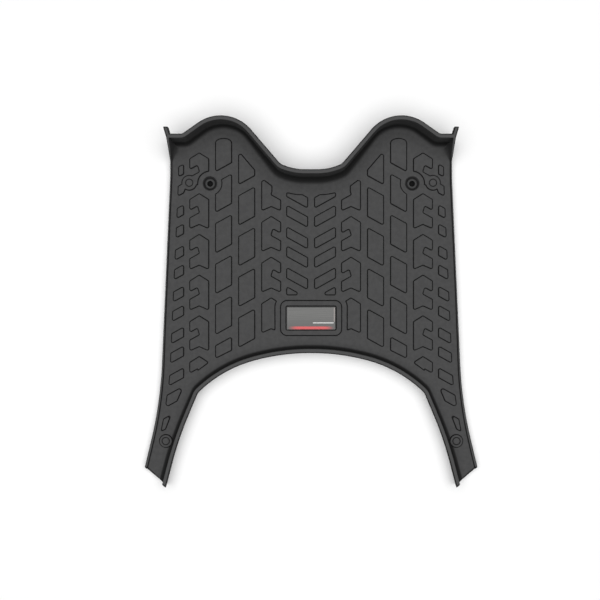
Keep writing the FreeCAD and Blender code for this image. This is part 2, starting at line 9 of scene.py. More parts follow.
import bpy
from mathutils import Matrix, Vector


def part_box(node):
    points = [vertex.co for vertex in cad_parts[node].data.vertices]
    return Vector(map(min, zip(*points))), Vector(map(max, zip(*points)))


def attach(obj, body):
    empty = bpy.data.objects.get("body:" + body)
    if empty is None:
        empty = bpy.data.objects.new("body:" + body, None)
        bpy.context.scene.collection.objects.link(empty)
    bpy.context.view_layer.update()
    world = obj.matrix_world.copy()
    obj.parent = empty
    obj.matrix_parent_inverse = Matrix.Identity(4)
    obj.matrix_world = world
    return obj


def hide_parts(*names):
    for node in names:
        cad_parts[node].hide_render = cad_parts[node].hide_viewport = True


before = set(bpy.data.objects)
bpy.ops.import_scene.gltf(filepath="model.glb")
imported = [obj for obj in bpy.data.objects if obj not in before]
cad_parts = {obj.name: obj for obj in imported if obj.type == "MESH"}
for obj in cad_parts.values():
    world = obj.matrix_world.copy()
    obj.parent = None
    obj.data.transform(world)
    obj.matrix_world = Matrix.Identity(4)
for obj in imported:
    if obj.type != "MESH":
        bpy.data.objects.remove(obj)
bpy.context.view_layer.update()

import bmesh
import bpy
import numpy as np
from mathutils import Vector
from mathutils.geometry import delaunay_2d_cdt

MM = 0.001

# %% [markdown]
# ## The camera
#
# The picture is taken from straight above, close enough for the tall front wall to lean outwards. The mat
# stands a little off the middle of the picture. The camera could be tilted towards it, but then the two
# sides of the mat would differ. So the camera stays level, and its lens is shifted instead.

# %% Hang the camera over the mat
PICTURE = 600
CAMERA_HEIGHT_MM = 1000.0
CAMERA_AHEAD_MM = 2.4
FLOOR_MM_PER_PIXEL = 1.1112
AXIS_PIXEL = (311.1, 301.0)

lens = bpy.data.cameras.new("overhead_camera")
lens.lens = lens.sensor_width * CAMERA_HEIGHT_MM / (PICTURE * FLOOR_MM_PER_PIXEL)
lens.shift_x = (PICTURE / 2 - AXIS_PIXEL[0]) / PICTURE
lens.shift_y = (AXIS_PIXEL[1] - PICTURE / 2) / PICTURE
camera = bpy.data.objects.new("overhead_camera", lens)
camera.location = (0, CAMERA_AHEAD_MM * MM, CAMERA_HEIGHT_MM * MM)
bpy.context.scene.collection.objects.link(camera)
bpy.context.scene.camera = camera
print("lens", round(lens.lens, 2), "mm, shift", round(lens.shift_x, 4), round(lens.shift_y, 4))

# %% [markdown]
# ## Shapes as arrays
#
# Two ideas make nearly every surface here. A *path* is a row of points with a normal that points into the
# mat, and a *section* is a row of (inset, height) pairs. Carrying the section along the path gives a grid
# of points. What is left between such grids is flat, and a triangulation covers it. A Bevel modifier could
# round a rough model instead, but here each edge has its own radius, and a section states it.

# %% Directions and lengths
def unit(vectors):
    """Vectors scaled to length one along their last axis."""
    return vectors / np.linalg.norm(vectors, axis=-1, keepdims=True)


def left_normals(tangents):
    """Tangents turned a quarter turn to the left, which is into the mat on a path that runs round it."""
    return np.stack([-tangents[..., 1], tangents[..., 0]], axis=-1)


def path_distance(points):
    """Length along a path up to each of its points."""
    return np.concatenate([[0], np.cumsum(np.linalg.norm(np.diff(points, axis=0), axis=1))])


# %% Rounded corners
LEAST_HALF_ANGLE, MOST_HALF_ANGLE = np.radians([1.0, 89.5])


def corner_arcs(before, here, after, radius, steps, share):
    """Round corners by arcs, given as arrays of the points before, at and after each corner.

    An arc touches both sides of its corner at radius / tan(half the corner's angle) from it, but at no more
    than a share of the shorter side. Its centre lies square to the first touching point.
    """
    to_before, to_after = before - here, after - here
    shorter = np.minimum(np.linalg.norm(to_before, axis=1), np.linalg.norm(to_after, axis=1))[:, None]
    to_before, to_after = unit(to_before), unit(to_after)
    angle = np.arccos(np.clip(np.sum(to_before * to_after, axis=1, keepdims=True), -1, 1))
    half = np.clip(angle / 2, LEAST_HALF_ANGLE, MOST_HALF_ANGLE)
    setback = np.minimum(radius / np.tan(half), share * shorter)
    is_left = to_before[:, 1:] * to_after[:, :1] > to_before[:, :1] * to_after[:, 1:]
    side = np.where(is_left, 1.0, -1.0)
    spoke = left_normals(to_before) * side * setback * np.tan(half)
    centre = here + to_before * setback - spoke
    turn = (np.pi - 2 * half) * side * np.linspace(0, 1, steps)
    return (centre[:, None] + spoke[:, None] * np.cos(turn)[..., None]
            + left_normals(spoke)[:, None] * np.sin(turn)[..., None])


# %% Rounded paths
ARC_STEPS = 48


def rounded_path(corners, spacing):
    """An open path through corners (x, y, radius), stepped at equal lengths, and its left normals."""
    corners = np.asarray(corners, float)
    plan = corners[:, :2]
    arcs = corner_arcs(plan[:-2], plan[1:-1], plan[2:], corners[1:-1, 2:], ARC_STEPS, 1.0)
    line = np.concatenate([plan[:1], arcs.reshape(-1, 2), plan[-1:]])
    length = path_distance(line)
    steps = np.linspace(0, length[-1], int(np.ceil(length[-1] / spacing)) + 1)
    points = np.stack([np.interp(steps, length, line[:, axis]) for axis in (0, 1)], axis=1)
    return points, left_normals(unit(np.gradient(points, axis=0)))


# %% Grids
def carry(points, normals, inset, height, shift=0.0):
    """Carry a section along a path: point = path + inset * normal + shift * tangent, at its height."""
    inset, height, shift = np.broadcast_arrays(inset, height, shift)
    tangents = np.stack([normals[:, 1], -normals[:, 0]], axis=1)
    plan = points[:, None] + inset[..., None] * normals[:, None] + shift[..., None] * tangents[:, None]
    plan = np.broadcast_to(plan, (len(points), inset.shape[-1], 2))
    height = np.broadcast_to(height, plan.shape[:2])
    return np.concatenate([plan, height[..., None]], axis=2)


def grid_faces(rows, columns, closed=False):
    """Quads of a grid of rows by columns, whose last row joins the first if it is closed."""
    index = np.arange(rows * columns).reshape(rows, columns)
    following = np.roll(index, -1, axis=0)
    if not closed:
        index, following = index[:-1], following[:-1]
    corners = [index[:, :-1], following[:, :-1], following[:, 1:], index[:, 1:]]
    return np.stack(corners, axis=-1).reshape(-1, 4)


# %% Flats
CLOSEST_POINTS = 1e-6


def signed_area(loop):
    """Area of a closed loop, positive if it runs anticlockwise."""
    following = np.roll(loop, -1, axis=0)
    return np.sum(loop[:, 0] * following[:, 1] - following[:, 0] * loop[:, 1]) / 2


def fill(loops):
    """Triangles between closed loops: an area is covered if it lies inside an odd number of them."""
    loops = [loop if signed_area(loop) > 0 else loop[::-1] for loop in loops]
    ends = np.cumsum([len(loop) for loop in loops])
    borders = [list(range(end - len(loop), end)) for loop, end in zip(loops, ends)]
    corners = list(map(Vector, np.concatenate(loops).tolist()))
    cover = delaunay_2d_cdt(corners, [], borders, 0, CLOSEST_POINTS)
    points, triangles, loops_round = cover[0], cover[2], cover[5]
    inside = np.array([len(owners) for owners in loops_round]) % 2 == 1
    return np.array(points), np.array(triangles)[inside]


# %% A piece in the making
WELD = 0.002
SHARP = np.radians(38.0)


class Moulding:
    """The surfaces of one piece, gathered in millimetres, with a shade for every point."""

    def __init__(self):
        self.points, self.shades, self.faces = [], [], []
        self.count = 0

    def add(self, points, faces, shade=0.0):
        """Add one surface. Shade runs from -1, coloured paler, to 1, painted shade deep in a corner."""
        points = points.reshape(-1, 3)
        self.faces += (np.asarray(faces) + self.count).tolist()
        self.points.append(points)
        self.shades.append(np.broadcast_to(shade, len(points)))
        self.count += len(points)

    def add_pair(self, points, faces, shade=0.0):
        """Add a surface of the right half and its mirror image."""
        points = points.reshape(-1, 3)
        self.add(points, faces, shade)
        self.add(points * (-1, 1, 1), np.asarray(faces)[:, ::-1], shade)

    def add_flat(self, loops, height):
        """Cover the area between loops at one height."""
        plan, triangles = fill(loops)
        self.add(np.column_stack([plan, np.full(len(plan), height)]), triangles)

    def build(self, name):
        """Make the object: weld the seams, turn the faces outwards and keep only real edges sharp."""
        mesh = bpy.data.meshes.new(name)
        mesh.from_pydata((np.concatenate(self.points) * MM).tolist(), [], self.faces)
        shade = mesh.attributes.new("shade", "FLOAT", "POINT")
        shade.data.foreach_set("value", np.concatenate(self.shades).astype(np.float32))
        work = bmesh.new()
        work.from_mesh(mesh)
        bmesh.ops.remove_doubles(work, verts=work.verts, dist=WELD * MM)
        bmesh.ops.dissolve_degenerate(work, edges=work.edges, dist=WELD * MM)
        bmesh.ops.recalc_face_normals(work, faces=work.faces)
        open_edges = sum(len(edge.link_faces) != 2 for edge in work.edges)
        work.to_mesh(mesh)
        work.free()
        mesh.polygons.foreach_set("use_smooth", np.ones(len(mesh.polygons), bool))
        mesh.set_sharp_from_angle(angle=SHARP)
        piece = bpy.data.objects.new(name, mesh)
        bpy.context.scene.collection.objects.link(piece)
        mesh.calc_loop_triangles()
        print(name, len(mesh.loop_triangles), "triangles,", open_edges, "open or crowded edges")
        return piece


# %% [markdown]
# ## The outline
#
# Seen from above, the mat is a rounded polygon. Only the right half is laid out, anticlockwise from the
# middle of the rear arch; the left half is its mirror image. It could be traced by a Bezier curve, but
# corners with radii are what a mould maker writes down, and they are easy to measure. Three runs of the
# outline carry three different sections: the rear lip, the side lip and the front wall. Between the first
# two lies the slanting leg end.

# %% Measures of the legs and the arch, in millimetres
mat_low, mat_high = (np.array(corner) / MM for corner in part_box("mat"))
HALF_WIDTH, FRONT_Y, REAR_Y = mat_high[0], mat_high[1], mat_low[1]
FLOOR = 5.0
LEG_LENGTH = 147.0
ARCH_Y = REAR_Y + LEG_LENGTH
ARCH_FLAT_X, ARCH_RADIUS = 30.0, 230.0
ARCH_BEND_X, ARCH_BEND_Y, ARCH_BEND_RADIUS = 94.2, ARCH_Y - 16.3, 140.0
LEG_ROOT_X, LEG_ROOT_Y, LEG_ROOT_RADIUS = 123.7, ARCH_Y - 43.3, 12.0
LEG_BOW_X, LEG_BOW_Y, LEG_BOW_RADIUS = 145.5, (LEG_ROOT_Y + REAR_Y) / 2, 400.0
LEG_TIP = np.array([159.0, REAR_Y])
LEG_CORNER = np.array([HALF_WIDTH, REAR_Y + 20.8])
print("mat:", np.round(mat_high - mat_low, 1), "mm")

# %% Measures of the sides and the front
HIP_X, HIP_Y, HIP_RADIUS = 166.4, REAR_Y + 92.5, 450.0
WAIST_X, WAIST_Y, WAIST_RADIUS = 155.4, FRONT_Y - 63.2, 300.0
SHOULDER_Y, SHOULDER_RADIUS = FRONT_Y - 19.6, 6.0
CREST_X, CREST_RADIUS = 97.0, 42.6
RECESS_Y, RECESS_RISE = FRONT_Y - 57.8, 5.6
RECESS_CORNER_RADIUS, RECESS_BOTTOM_RADIUS = 13.0, 60.0
INNER_SLOPE, OUTER_SLOPE, RECESS_SLOPE = np.radians([49.4, 35.3, 20.0])

crest_reach = CREST_RADIUS / np.cos((INNER_SLOPE + OUTER_SLOPE) / 2)
crest_lean = (OUTER_SLOPE - INNER_SLOPE) / 2
APEX_X = CREST_X + crest_reach * np.sin(crest_lean)
APEX_Y = FRONT_Y - CREST_RADIUS + crest_reach * np.cos(crest_lean)
SHOULDER_X = APEX_X + (APEX_Y - SHOULDER_Y) / np.tan(OUTER_SLOPE)
RECESS_X = APEX_X - (APEX_Y - RECESS_Y) / np.tan(INNER_SLOPE)
RECESS_CORNER_X = RECESS_X + RECESS_RISE / np.tan(INNER_SLOPE)
RECESS_BOTTOM_X = RECESS_CORNER_X - RECESS_RISE / np.tan(RECESS_SLOPE)
print("crest's corner at", round(APEX_X, 1), round(APEX_Y, 1))

# %% Lay out the three runs
STEP = 1.2
rear_path, rear_normals = rounded_path([
    (0, ARCH_Y, 0),
    (ARCH_FLAT_X, ARCH_Y, ARCH_RADIUS),
    (ARCH_BEND_X, ARCH_BEND_Y, ARCH_BEND_RADIUS),
    (LEG_ROOT_X, LEG_ROOT_Y, LEG_ROOT_RADIUS),
    (LEG_BOW_X, LEG_BOW_Y, LEG_BOW_RADIUS),
    (*LEG_TIP, 0),
], STEP)
side_path, side_normals = rounded_path([
    (*LEG_CORNER, 0),
    (HIP_X, HIP_Y, HIP_RADIUS),
    (WAIST_X, WAIST_Y, WAIST_RADIUS),
    (WAIST_X, SHOULDER_Y, 0),
], STEP)
front_path, front_normals = rounded_path([
    (WAIST_X, SHOULDER_Y, 0),
    (SHOULDER_X, SHOULDER_Y, SHOULDER_RADIUS),
    (APEX_X, APEX_Y, CREST_RADIUS),
    (RECESS_CORNER_X, RECESS_Y + RECESS_RISE, RECESS_CORNER_RADIUS),
    (RECESS_BOTTOM_X, RECESS_Y, RECESS_BOTTOM_RADIUS),
    (0, RECESS_Y, 0),
], STEP)

# %% Add a row close to each leg end
END_ROW = 0.5


def add_row(rows, before, share):
    """Rows with one more, put before a row at a share of the way from it to the row it had before it."""
    return np.insert(rows, before, rows[before] + share * (rows[before - 1] - rows[before]), axis=0)


rear_path, rear_normals = (add_row(rows, len(rows) - 1, END_ROW) for rows in (rear_path, rear_normals))
side_path, side_normals = (add_row(rows, 1, 1 - END_ROW) for rows in (side_path, side_normals))
print("path points:", len(rear_path), len(side_path), len(front_path))

# %% [markdown]
# ## The wall's section
#
# All three runs are cut from the same kind of wall: up the outside, over a rounded rim, down the inside,
# and out along a hollow foot until it lies flat. One section is written once, for any height, thickness and
# foot, so that the runs can change along their length and still meet point for point. Extra points beside
# each round keep the flats flat, because shading blends across every face that has no such neighbour.

# %% One section for every wall
QUARTER = np.linspace(0, np.pi / 2, 7)
FOOT_QUARTER = np.linspace(0, np.pi / 2, 10)
BOTTOM_EASE = 0.5
OUTER_ROUND, INNER_ROUND, HOLD, LAP = 1.5, 0.5, 0.2, 0.5
OUTER_SHARE, INNER_SHARE, HOLD_SHARE, LAP_SHARE = 0.4, 0.25, 0.05, 0.3
DRAFT, MOST_DRAFT = np.tan(np.radians(4.0)), 1.2


def wall_section(height, thickness, foot):
    """Insets and heights of a wall's section, one row for each value of the arrays it is given.

    The outer face leans out a little towards the top, so that the mould can open. The rim turns over two
    quarter circles, which shrink on a thin wall. The foot is a hollow quarter circle from the inner face to
    the floor, and ends in a short flat lap.
    """
    height, thickness, foot = (value[:, None] for value in np.broadcast_arrays(height, thickness, foot))
    flat = np.zeros_like(height)
    outer = np.minimum(OUTER_ROUND, OUTER_SHARE * thickness)
    inner = np.minimum(INNER_ROUND, INNER_SHARE * thickness)
    hold = np.minimum(HOLD, HOLD_SHARE * thickness)
    lap = np.minimum(LAP, LAP_SHARE * foot)
    draft = np.minimum(DRAFT * height, MOST_DRAFT)
    stations = [
        (draft + BOTTOM_EASE, flat),
        (draft, flat + BOTTOM_EASE),
        (draft * (1 - hold / height), flat + BOTTOM_EASE + hold),
        (flat, height - outer - hold),
        (outer * (1 - np.cos(QUARTER)), height - outer * (1 - np.sin(QUARTER))),
        (outer + hold, height),
        (thickness - inner - hold, height),
        (thickness - inner * (1 - np.sin(QUARTER)), height - inner * (1 - np.cos(QUARTER))),
        (thickness, height - inner - hold),
        (thickness, FLOOR + foot + hold),
        (thickness + foot * (1 - np.cos(FOOT_QUARTER)), FLOOR + foot * (1 - np.sin(FOOT_QUARTER))),
        (thickness + foot + lap, flat + FLOOR),
    ]
    return [np.concatenate(column, axis=1) for column in zip(*stations)]


# %% [markdown]
# ## Painted shade on the rubber
#
# Light leaves rubber darker in hollows, on upright faces and round the outer edges of rims. That shade is
# also painted into its colour, and rim tops are coloured paler. A noise texture could only guess where that
# is, but the section knows its own rim and foot. So each of its points carries a painted shade: from -1 on a
# paler rim top, through 0 on open ground, to 1 in the hollow of the foot. The outer faces need none, because
# light from overhead leaves them dark by itself.

# %% Painted shades of the section
# Positive values paint shade on rim edges, inner faces and feet; the negative one colours rim tops paler.
EDGE, PALE_RIM, FACE, DEEP = 0.95, -0.6, 0.5, 1.0
EDGE_SHARE = 0.6
FOOT_ONSET = np.radians(30.0)
FADE = 0.5


def smooth(weight):
    """A weight with level ends: 3 w squared less 2 w cubed."""
    weight = np.clip(weight, 0, 1)
    return weight * weight * (3 - 2 * weight)


def rim_shade(angle, edge):
    """Painted shade over the outer round of a rim: a dark edge for a share of its width, then paler."""
    return edge + (PALE_RIM - edge) * smooth((1 - np.cos(angle) - EDGE_SHARE) / (1 - EDGE_SHARE))


def wall_shade(fade_from):
    """Painted shades of the section, one row for each share of the foot from which its darkness fades."""
    fade_from = fade_from[:, None]
    upper = np.concatenate([
        np.zeros(4),
        rim_shade(QUARTER, EDGE),
        np.full(2, PALE_RIM),
        PALE_RIM + (FACE - PALE_RIM) * smooth(np.sin(QUARTER)),
        np.full(2, FACE),
    ])
    upper = np.broadcast_to(upper, (len(fade_from), len(upper)))
    hollow = FACE + (DEEP - FACE) * smooth(FOOT_QUARTER / FOOT_ONSET)
    foot = hollow * (1 - smooth((1 - np.cos(FOOT_QUARTER) - fade_from) / FADE))
    return np.concatenate([upper, foot, 0 * fade_from], axis=1)


# %% [markdown]
# ## Walls and lips
#
# The rear lip is thick and even, and its foot grows wider on the legs. The side lip is low, and rises at
# its front end into a gusset that props the tall front wall. The runs could be modelled apart and joined by
# a Boolean, which leaves ragged seams. Here, where two runs meet, their sections are drawn along the path
# until both lie in the same mitre, so the seam closes without a gap.

# %% Section along the rear lip
REAR_HEIGHT, REAR_THICKNESS, REAR_FOOT, LEG_FOOT = 17.0, 4.5, 4.4, 5.4
LEG_BLEND = 14.0


def ramp(distance, blend):
    """A weight that falls from 1 at distance zero to 0 at the blend length."""
    return np.clip(1 - distance / blend, 0, 1)


leg_cut = unit(LEG_CORNER - LEG_TIP)
rear_to_tip = path_distance(rear_path)[-1] - path_distance(rear_path)
down_leg = smooth((ARCH_Y - rear_path[:, 1]) / LEG_LENGTH)
rear_foot = REAR_FOOT + (LEG_FOOT - REAR_FOOT) * down_leg
rear_inset, rear_level = wall_section(REAR_HEIGHT, REAR_THICKNESS, rear_foot)
tip_tangent = np.array([rear_normals[-1, 1], -rear_normals[-1, 0]])
tip_lean = leg_cut @ tip_tangent / (leg_cut @ rear_normals[-1])
rear_shift = ramp(rear_to_tip, LEG_BLEND)[:, None] * rear_inset * tip_lean
print("rear lip:", round(rear_to_tip[0], 1), "mm long")

# %% Sections along the side lip and the front wall
FRONT_HEIGHT, FRONT_THICKNESS, FRONT_FOOT = 36.0, 4.6, 8.4
SIDE_HEIGHT, SIDE_FOOT = 7.6, 1.3
SIDE_THICKNESS, LEG_THICKNESS, GUSSET_THICKNESS = 1.2, 2.6, 3.0
THINNING_LENGTH, GUSSET_LENGTH = 200.0, 27.0

side_along, front_along = path_distance(side_path), path_distance(front_path)
side_to_front = side_along[-1] - side_along
gusset_rise = np.clip((GUSSET_LENGTH - side_to_front) / (GUSSET_LENGTH - FRONT_THICKNESS), 0, 1)
lip_thickness = LEG_THICKNESS + (SIDE_THICKNESS - LEG_THICKNESS) * smooth(side_along / THINNING_LENGTH)
side_inset, side_level = wall_section(
    np.maximum(SIDE_HEIGHT, FLOOR + (FRONT_HEIGHT - FLOOR) * gusset_rise),
    lip_thickness + (GUSSET_THICKNESS - lip_thickness) * smooth(gusset_rise),
    SIDE_FOOT + (FRONT_FOOT - SIDE_FOOT) * smooth(gusset_rise),
)
front_inset, front_level = wall_section(FRONT_HEIGHT, FRONT_THICKNESS, np.full(len(front_path), FRONT_FOOT))
side_level = side_level + smooth(gusset_rise)[:, None] * (front_level[:1] - side_level[-1:])
print("side lip:", round(side_along[-1], 1), "mm long, half the front wall:", round(front_along[-1], 1))

# %% Draw both into their mitres
CORNER_BLEND, GUSSET_BLEND = 13.0, 24.0
corner_tangent = np.array([side_normals[0, 1], -side_normals[0, 0]])
corner_lean = leg_cut @ corner_tangent / (leg_cut @ side_normals[0])
side_shift = (ramp(side_along, LEG_BLEND)[:, None] * side_inset * corner_lean
              - ramp(side_to_front, GUSSET_BLEND)[:, None] * front_inset[:1])
front_shift = ramp(front_along, CORNER_BLEND)[:, None] * side_inset[-1:]

# %% Painted shades along the runs
# Shares of each foot from which its painted shade fades out.
REAR_FADE, LEG_FADE, SIDE_FADE, CREST_FADE, RECESS_FADE = 0.6, 0.75, 0.4, 0.2, 0.55
# The gusset carries less painted shade.
GUSSET_PALER = 0.45
# A painted dark line of shade runs along each leg's cut end, over these many rows.
LEG_EDGE, LEG_EDGE_ROWS = 0.95, 3

rear_shade = wall_shade(REAR_FADE + (LEG_FADE - REAR_FADE) * down_leg)
rear_shade[-LEG_EDGE_ROWS:] = np.maximum(rear_shade[-LEG_EDGE_ROWS:], LEG_EDGE)
side_shade = wall_shade(np.full(len(side_path), SIDE_FADE))
paler = GUSSET_PALER * smooth(2 * gusset_rise)[:, None]
side_shade = np.where(side_shade > 0, side_shade * (1 - paler), side_shade)
side_shade[:LEG_EDGE_ROWS] = np.maximum(side_shade[:LEG_EDGE_ROWS], LEG_EDGE)
front_depth = smooth((FRONT_Y - front_path[:, 1]) / (FRONT_Y - RECESS_Y))
front_shade = wall_shade(CREST_FADE + (RECESS_FADE - CREST_FADE) * front_depth)

# %% Raise the walls
mat = Moulding()
rear_wall = carry(rear_path, rear_normals, rear_inset, rear_level, rear_shift)
side_wall = carry(side_path, side_normals, side_inset, side_level, side_shift)
front_wall = carry(front_path, front_normals, front_inset, front_level, front_shift)
for wall, shade in ((rear_wall, rear_shade), (side_wall, side_shade), (front_wall, front_shade)):
    mat.add_pair(wall, grid_faces(*wall.shape[:2]), shade.reshape(-1))
print("walls:", mat.count, "points")

# %% Close the leg ends with a painted dark line of shade along the cut
leg_end = np.concatenate([rear_wall[-1], side_wall[0, ::-1]])
mat.add_pair(leg_end, np.arange(len(leg_end))[None])
edge_rows = LEG_EDGE_ROWS + 1
leg_edge = np.stack([rear_wall[::-1][:edge_rows, -1], side_wall[:edge_rows, -1]], axis=1)
mat.add_pair(leg_edge, grid_faces(edge_rows, 2), np.repeat([LEG_EDGE] * LEG_EDGE_ROWS + [0], 2))
print("leg ends:", mat.count, "points so far")


# %% Start the loops of the floor and of the underside
def whole_loop(level, spare=0):
    """The closed loop of one point of the section round both halves, less spare rows at the leg ends."""
    rear, side = rear_wall[:len(rear_wall) - spare], side_wall[spare:]
    right = np.concatenate([rear[:, level, :2], side[:, level, :2], front_wall[1:-1, level, :2]])
    last = front_wall[-1:, level, :2]
    left = right[:0:-1] * (-1, 1)
    return np.concatenate([right, last, left])


floor_loops = [whole_loop(-1, spare=LEG_EDGE_ROWS)]
underside_loops = [whole_loop(0)]
print("floor outline:", len(floor_loops[0]), "points")

# %% [markdown]
# ## The tread
#
# The tread is a regular pattern of chevrons, bars and hooks, cut back to fixed margins, so nearly every
# border block has a shape of its own. It could be drawn again here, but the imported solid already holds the
# outlines as the flat tops of its blocks. They are read from it as loops, their corners are rounded, and a
# soft S-shaped side is carried round each one. The two round marks on the legs touch the rear lip's foot,
# so they are sunk into it. Every other block closes its own hole in the floor.

# %% Loops round the flat faces at one height
LEVEL_TOLERANCE = 0.01


def flat_triangles(node_name, height):
    """A node's points in millimetres, each kept once, and its triangles that lie flat at a height."""
    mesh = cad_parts[node_name].data
    mesh.calc_loop_triangles()
    places = np.empty(len(mesh.vertices) * 3, np.float32)
    mesh.vertices.foreach_get("co", places)
    triangles = np.empty(len(mesh.loop_triangles) * 3, np.int32)
    mesh.loop_triangles.foreach_get("vertices", triangles)
    places, same = np.unique(np.round(places.reshape(-1, 3) / MM, 3), axis=0, return_inverse=True)
    triangles = same.reshape(-1)[triangles].reshape(-1, 3)
    level = np.abs(places[triangles][:, :, 2] - height).max(axis=1) < LEVEL_TOLERANCE
    return places, triangles[level]


def boundary_loops(places, triangles):
    """Outlines of an area of triangles, as closed loops.

    An edge with no partner the other way round is a boundary edge, and leads from its point to the next.
    Doubling that step over and over finds the lowest point of each loop and how many steps lie between it
    and every other point, which puts all the points in order at once.
    """
    starts, ends = triangles.reshape(-1), np.roll(triangles, -1, axis=1).reshape(-1)
    lone = ~np.isin(starts * len(places) + ends, ends * len(places) + starts)
    following = np.arange(len(places))
    following[starts[lone]] = ends[lone]
    doublings = int(np.ceil(np.log2(len(places))))
    lowest, hop = np.arange(len(places)), following.copy()
    for doubling in range(doublings):
        lowest, hop = np.minimum(lowest, lowest[hop]), hop[hop]
    is_first = lowest == np.arange(len(places))
    steps, hop = np.where(is_first, 0, 1), np.where(is_first, lowest, following)
    for doubling in range(doublings):
        steps, hop = steps + steps[hop], hop[hop]
    on_border = np.unique(starts[lone])
    order = on_border[np.lexsort((-steps[on_border], lowest[on_border]))]
    breaks = np.flatnonzero(np.diff(lowest[order])) + 1
    return [places[loop, :2] for loop in np.split(order, breaks)]


# %% Loops without needless corners
SHORTEST_SIDE = 0.3
LEAST_TURN = np.radians(3.5)
CLEFT_TURN, CLEFT_REACH = np.radians(125.0), 1.8


def turns(loop):
    """Directions of the sides after each corner, their lengths, and the left turns at the corners."""
    sides = np.roll(loop, -1, axis=0) - loop
    ahead = unit(sides)
    behind = np.roll(ahead, 1, axis=0)
    across = behind[:, 0] * ahead[:, 1] - behind[:, 1] * ahead[:, 0]
    return ahead, np.linalg.norm(sides, axis=1), np.arctan2(across, np.sum(behind * ahead, axis=1))


def plain_loop(loop):
    """A closed loop without corners that hardly turn or nearly touch the next, and with blunt clefts.

    A cleft is an inward corner too sharp to be moulded. It and the points close to it are left out.
    """
    loop = loop[np.abs(turns(loop)[2]) > LEAST_TURN]
    loop = loop[turns(loop)[1] > SHORTEST_SIDE]
    clefts = loop[turns(loop)[2] < -CLEFT_TURN]
    apart = np.linalg.norm(loop[:, None] - clefts[None], axis=2)
    return loop[np.all(apart > CLEFT_REACH, axis=1)]


# %% Rings inside and outside a loop
SIDE_SHARE = 0.45
CORNER_STEPS = 6
LEAST_RADIUS = 0.1


def ring_loop(loop, inset, radius):
    """A closed loop with every side moved inwards by an inset and its corners rounded.

    A corner moves along the sum of its two sides' normals, over one plus the cosine of its turn. It moves
    less where its sides would run out. The radius shrinks by the inset at outward corners and grows at
    inward ones.
    """
    ahead, length, turn = turns(loop)
    behind = np.roll(ahead, 1, axis=0)
    room = SIDE_SHARE * np.minimum(length, np.roll(length, 1)) / np.tan(np.abs(turn) / 2)
    shift = np.where(turn * inset > 0, np.clip(inset, -room, room), inset)
    mitre = (left_normals(behind) + left_normals(ahead)) / (1 + np.cos(turn))[:, None]
    corners = loop + shift[:, None] * mitre
    before, after = np.roll(corners, 1, axis=0), np.roll(corners, -1, axis=0)
    radii = np.maximum(radius - inset * np.sign(turn), LEAST_RADIUS)[:, None]
    return corner_arcs(before, corners, after, radii, CORNER_STEPS, SIDE_SHARE).reshape(-1, 2)


def stacked_rings(loop, insets, levels, radius):
    """A grid of rings of one loop, each at its inset and its height."""
    return np.stack([np.insert(ring_loop(loop, inset, radius), 2, level, axis=1)
                     for inset, level in zip(insets, levels)], axis=1)


# %% Read the block outlines
TREAD_HEIGHT = 1.4
RING_RADIUS, RING_WIDTH = 4.0, 1.0
MARK_REACH = 0.5
FRONT_MARK = np.array([134.6, FRONT_Y - 68.6])
LEG_MARK = np.array([160.5, REAR_Y + 49.3])
HALVES = ((1, 1), (-1, 1))
marks = [mark * half for mark in (FRONT_MARK, LEG_MARK) for half in HALVES]


def is_ring(loop):
    """Whether a loop is an edge of the ring groove in a round mark."""
    middle = (loop.min(axis=0) + loop.max(axis=0)) / 2
    nearest = min(np.linalg.norm(middle - mark) for mark in marks)
    return nearest < MARK_REACH and np.abs(loop - middle).max() < RING_RADIUS + RING_WIDTH


tops = boundary_loops(*flat_triangles("mat", FLOOR + TREAD_HEIGHT))
tread_loops = [plain_loop(loop) for loop in tops if not is_ring(loop)]
print(len(tread_loops), "tread blocks")

# %% Arch the first bars under the crests
ARCH_RISE = 5.0
ARCH_ANGLES = np.linspace(0, np.pi, 11)
BAR_REACH, TOP_REACH = 6.0, 0.1


def arched(loop):
    """A bar whose upper end is half an ellipse as wide as the bar."""
    (left, lower), (right, upper) = loop.min(axis=0), loop.max(axis=0)
    spring = upper - ARCH_RISE
    above = loop[:, 1] > spring
    first = np.flatnonzero(above & ~np.roll(above, -1))[0] + 1
    sides = np.roll(loop, -first, axis=0)[:np.sum(~above)]
    arch = np.column_stack([(left + right) / 2 + (right - left) / 2 * np.cos(ARCH_ANGLES),
                            spring + ARCH_RISE * np.sin(ARCH_ANGLES)])
    return np.concatenate([sides, arch])


under_crest = [abs(abs(loop[:, 0].mean()) - CREST_X) < BAR_REACH for loop in tread_loops]
first_top = max(loop[:, 1].max() for loop, under in zip(tread_loops, under_crest) if under)
is_first_bar = [under and loop[:, 1].max() > first_top - TOP_REACH
                for loop, under in zip(tread_loops, under_crest)]
tread_loops = [arched(loop) if first else loop for loop, first in zip(tread_loops, is_first_bar)]
print(sum(is_first_bar), "arched bars")

# %% The S-shaped side of a block
SIDE_RUN = 1.4
SIDE_STEPS = np.linspace(0, 1, 8)
BLOCK_LAP = 0.2
LINE_SPREAD = 1.6

half_run = SIDE_RUN / 2 + BLOCK_LAP
block_inset = np.concatenate([[-half_run], (SIDE_STEPS - 0.5) * SIDE_RUN, [half_run]])
block_rise = smooth((block_inset + SIDE_RUN / 2) / SIDE_RUN)
# A painted dark line of shade runs along each block's side, darkest half-way up it.
block_shade = smooth(LINE_SPREAD - LINE_SPREAD * np.abs(block_inset) / half_run)

# %% Raise the blocks
CORNER_ROUND = 1.6
SINK = 0.15
LEG_MARK_REACH = 1.0
LEG_GROWTH = 0.7

